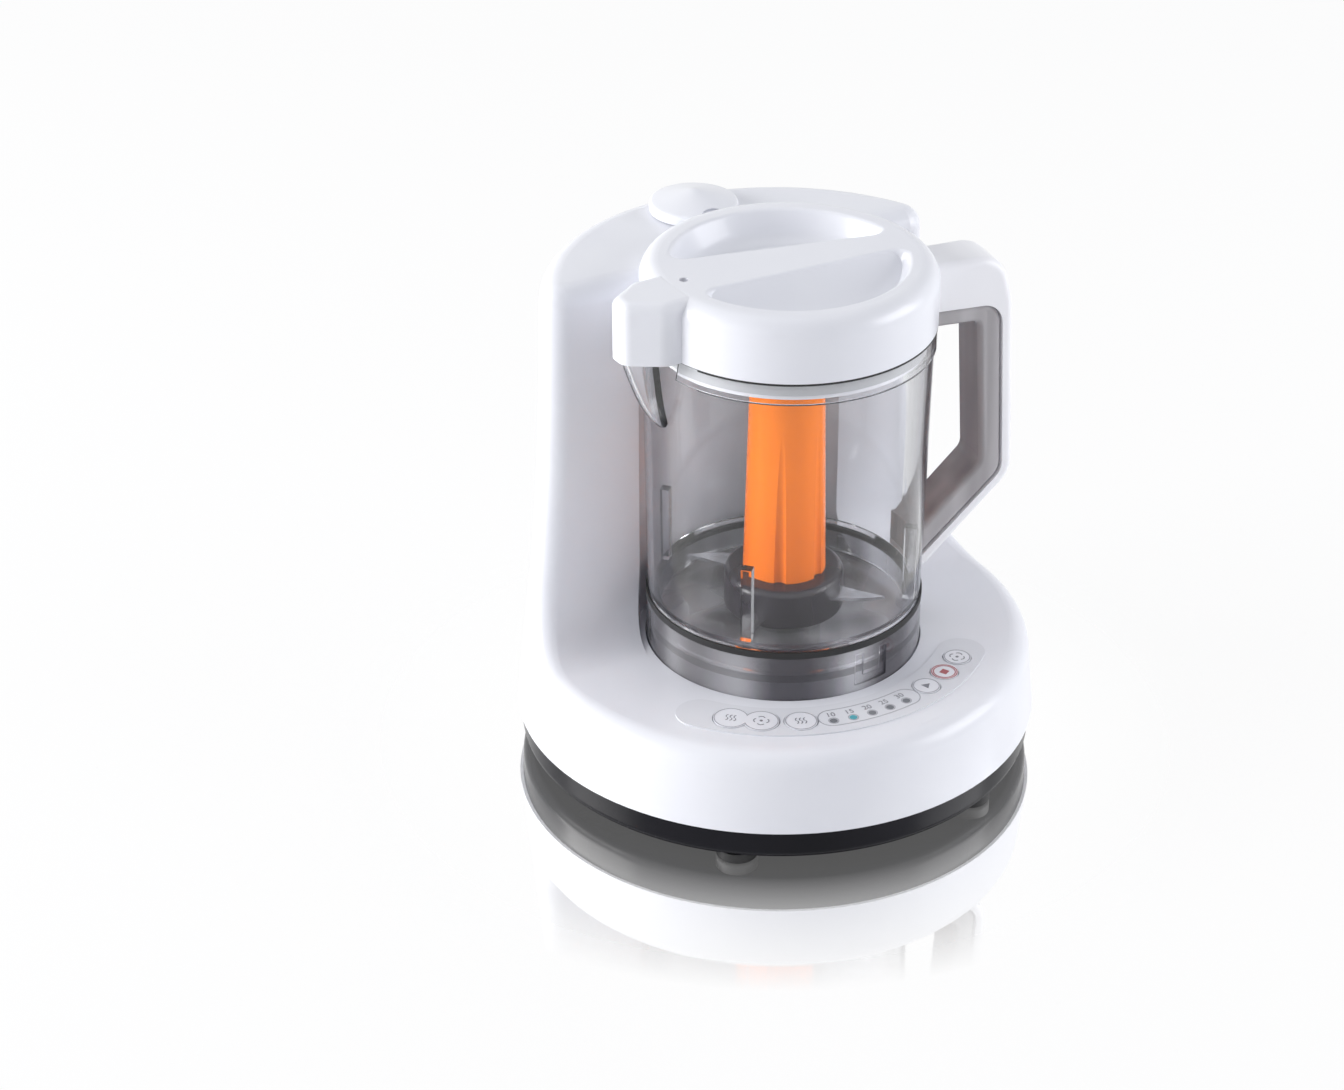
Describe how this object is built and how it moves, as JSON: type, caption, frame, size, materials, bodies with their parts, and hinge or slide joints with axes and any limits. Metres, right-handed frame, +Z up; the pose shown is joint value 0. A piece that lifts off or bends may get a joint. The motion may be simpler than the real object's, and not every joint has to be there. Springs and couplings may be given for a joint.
{
  "type": "baby food maker",
  "caption": "Steam-and-blend baby food maker: round white base with a rear water tower, clear spouted bowl with handle and blade, scooped lid and turning reservoir cap.",
  "frame": {"origin": "on the floor under the centre of the round base", "axes": "+Z up, front with the control panel towards -Y, bowl handle towards +X, tower towards +Y"},
  "size_m": [0.229, 0.229, 0.2335],
  "materials": {
    "white_plastic": "smooth white plastic",
    "dark_plastic": "glossy near-black plastic",
    "rubber": "black rubber",
    "silicone": "pale grey silicone",
    "steel": "stainless steel",
    "copper_windings": "lacquered copper winding pack",
    "aluminium": "cast aluminium",
    "panel_film": "printed overlay film",
    "light_pipe": "clear light pipe",
    "board": "circuit board",
    "inner_plastic": "plain inner plastic",
    "smoky_plastic": "smoky grey translucent plastic",
    "clear_plastic": "clear plastic",
    "brass": "plain bearing bush",
    "orange_plastic": "orange plastic"
  },
  "bodies": {
    "base_unit": {"upper_housing": "white_plastic", "bottom_pan": "dark_plastic", "foot_front_left": "rubber", "foot_front_right": "rubber", "foot_rear_left": "rubber", "foot_rear_right": "rubber", "housing_screw_1": "steel", "housing_screw_2": "steel", "housing_screw_3": "steel", "housing_screw_4": "steel", "control_panel": "panel_film", "timer_light_1": "light_pipe", "timer_light_2": "light_pipe", "timer_light_3": "light_pipe", "timer_light_4": "light_pipe", "timer_light_5": "light_pipe", "control_board": "board", "motor_flange": "dark_plastic", "motor_can": "steel", "motor_stator": "copper_windings", "shaft_seal": "rubber", "boiler_tank": "aluminium", "heating_plate": "aluminium", "boiler_stand": "steel", "thermostat": "steel", "filler_neck": "inner_plastic", "steam_pipe": "inner_plastic", "steam_seal": "silicone", "cord_gland": "rubber"},
    "rotor": {"rotor_core": "steel", "motor_shaft": "steel", "drive_coupling": "dark_plastic"},
    "bowl_base": {"collar": "smoky_plastic", "bowl_bushing": "brass", "seal_ring": "rubber"},
    "jar_body": {"jar": "clear_plastic", "handle_grip": "smoky_plastic", "handle_cover": "white_plastic"},
    "blade": {"blade_socket": "dark_plastic", "blade_spindle": "steel", "boss_disc": "dark_plastic", "lower_blade": "steel", "upper_blade": "steel", "blade_hub": "orange_plastic"},
    "lid_seal": {"lid_gasket": "silicone"},
    "lid_body": {"lid": "white_plastic"},
    "cap_insert": {"cap_plug": "inner_plastic", "cap_seal": "rubber"},
    "cap_top": {"reservoir_cap": "white_plastic"},
    "key_steam_blend": {"button_steam_blend": "white_plastic"},
    "key_steam": {"button_steam": "white_plastic"},
    "key_start": {"button_start": "white_plastic"},
    "key_stop": {"button_stop": "white_plastic"},
    "key_blend": {"button_blend": "white_plastic"}
  },
  "joints": [
    {"name": "motor_spin", "type": "hinge", "parent": "base_unit", "child": "rotor", "pos_m": [0, -0.007, 0.03], "axis": [0, 0, 1], "continuous": true},
    {"name": "bowl_lift", "type": "slide", "parent": "base_unit", "child": "bowl_base", "axis": [0, 0, 1], "range_m": [0, 0.15]},
    {"name": "jar_turn", "type": "hinge", "parent": "bowl_base", "child": "jar_body", "pos_m": [0, -0.007, 0.078], "axis": [0, 0, 1], "range_deg": [0, 20]},
    {"name": "blade_spin", "type": "hinge", "parent": "bowl_base", "child": "blade", "pos_m": [0, -0.007, 0.066], "axis": [0, 0, 1], "continuous": true},
    {"name": "lid_lift", "type": "slide", "parent": "jar_body", "child": "lid_seal", "axis": [0, 0, 1], "range_m": [0, 0.06]},
    {"name": "lid_turn", "type": "hinge", "parent": "lid_seal", "child": "lid_body", "pos_m": [0, -0.007, 0.207], "axis": [0, 0, 1], "range_deg": [0, 25]},
    {"name": "cap_lift", "type": "slide", "parent": "base_unit", "child": "cap_insert", "axis": [0, 0, 1], "range_m": [0, 0.05]},
    {"name": "cap_turn", "type": "hinge", "parent": "cap_insert", "child": "cap_top", "pos_m": [-0.00815, 0.07757, 0.223], "axis": [0, 0, 1], "range_deg": [0, 90]},
    {"name": "press_steam_blend", "type": "slide", "parent": "base_unit", "child": "key_steam_blend", "axis": [0, 0, -1], "range_m": [0, 0.0006], "stiffness_N_per_m": 600, "springref_m": -0.0004},
    {"name": "press_steam", "type": "slide", "parent": "base_unit", "child": "key_steam", "axis": [0, 0, -1], "range_m": [0, 0.0006], "stiffness_N_per_m": 600, "springref_m": -0.0004},
    {"name": "press_start", "type": "slide", "parent": "base_unit", "child": "key_start", "axis": [0, 0, -1], "range_m": [0, 0.0006], "stiffness_N_per_m": 600, "springref_m": -0.0004},
    {"name": "press_stop", "type": "slide", "parent": "base_unit", "child": "key_stop", "axis": [0, 0, -1], "range_m": [0, 0.0006], "stiffness_N_per_m": 600, "springref_m": -0.0004},
    {"name": "press_blend", "type": "slide", "parent": "base_unit", "child": "key_blend", "axis": [0, 0, -1], "range_m": [0, 0.0006], "stiffness_N_per_m": 600, "springref_m": -0.0004}
  ],
  "couplings": [
    {"joint": "blade_spin", "follows": "motor_spin", "ratio": 1}
  ]
}
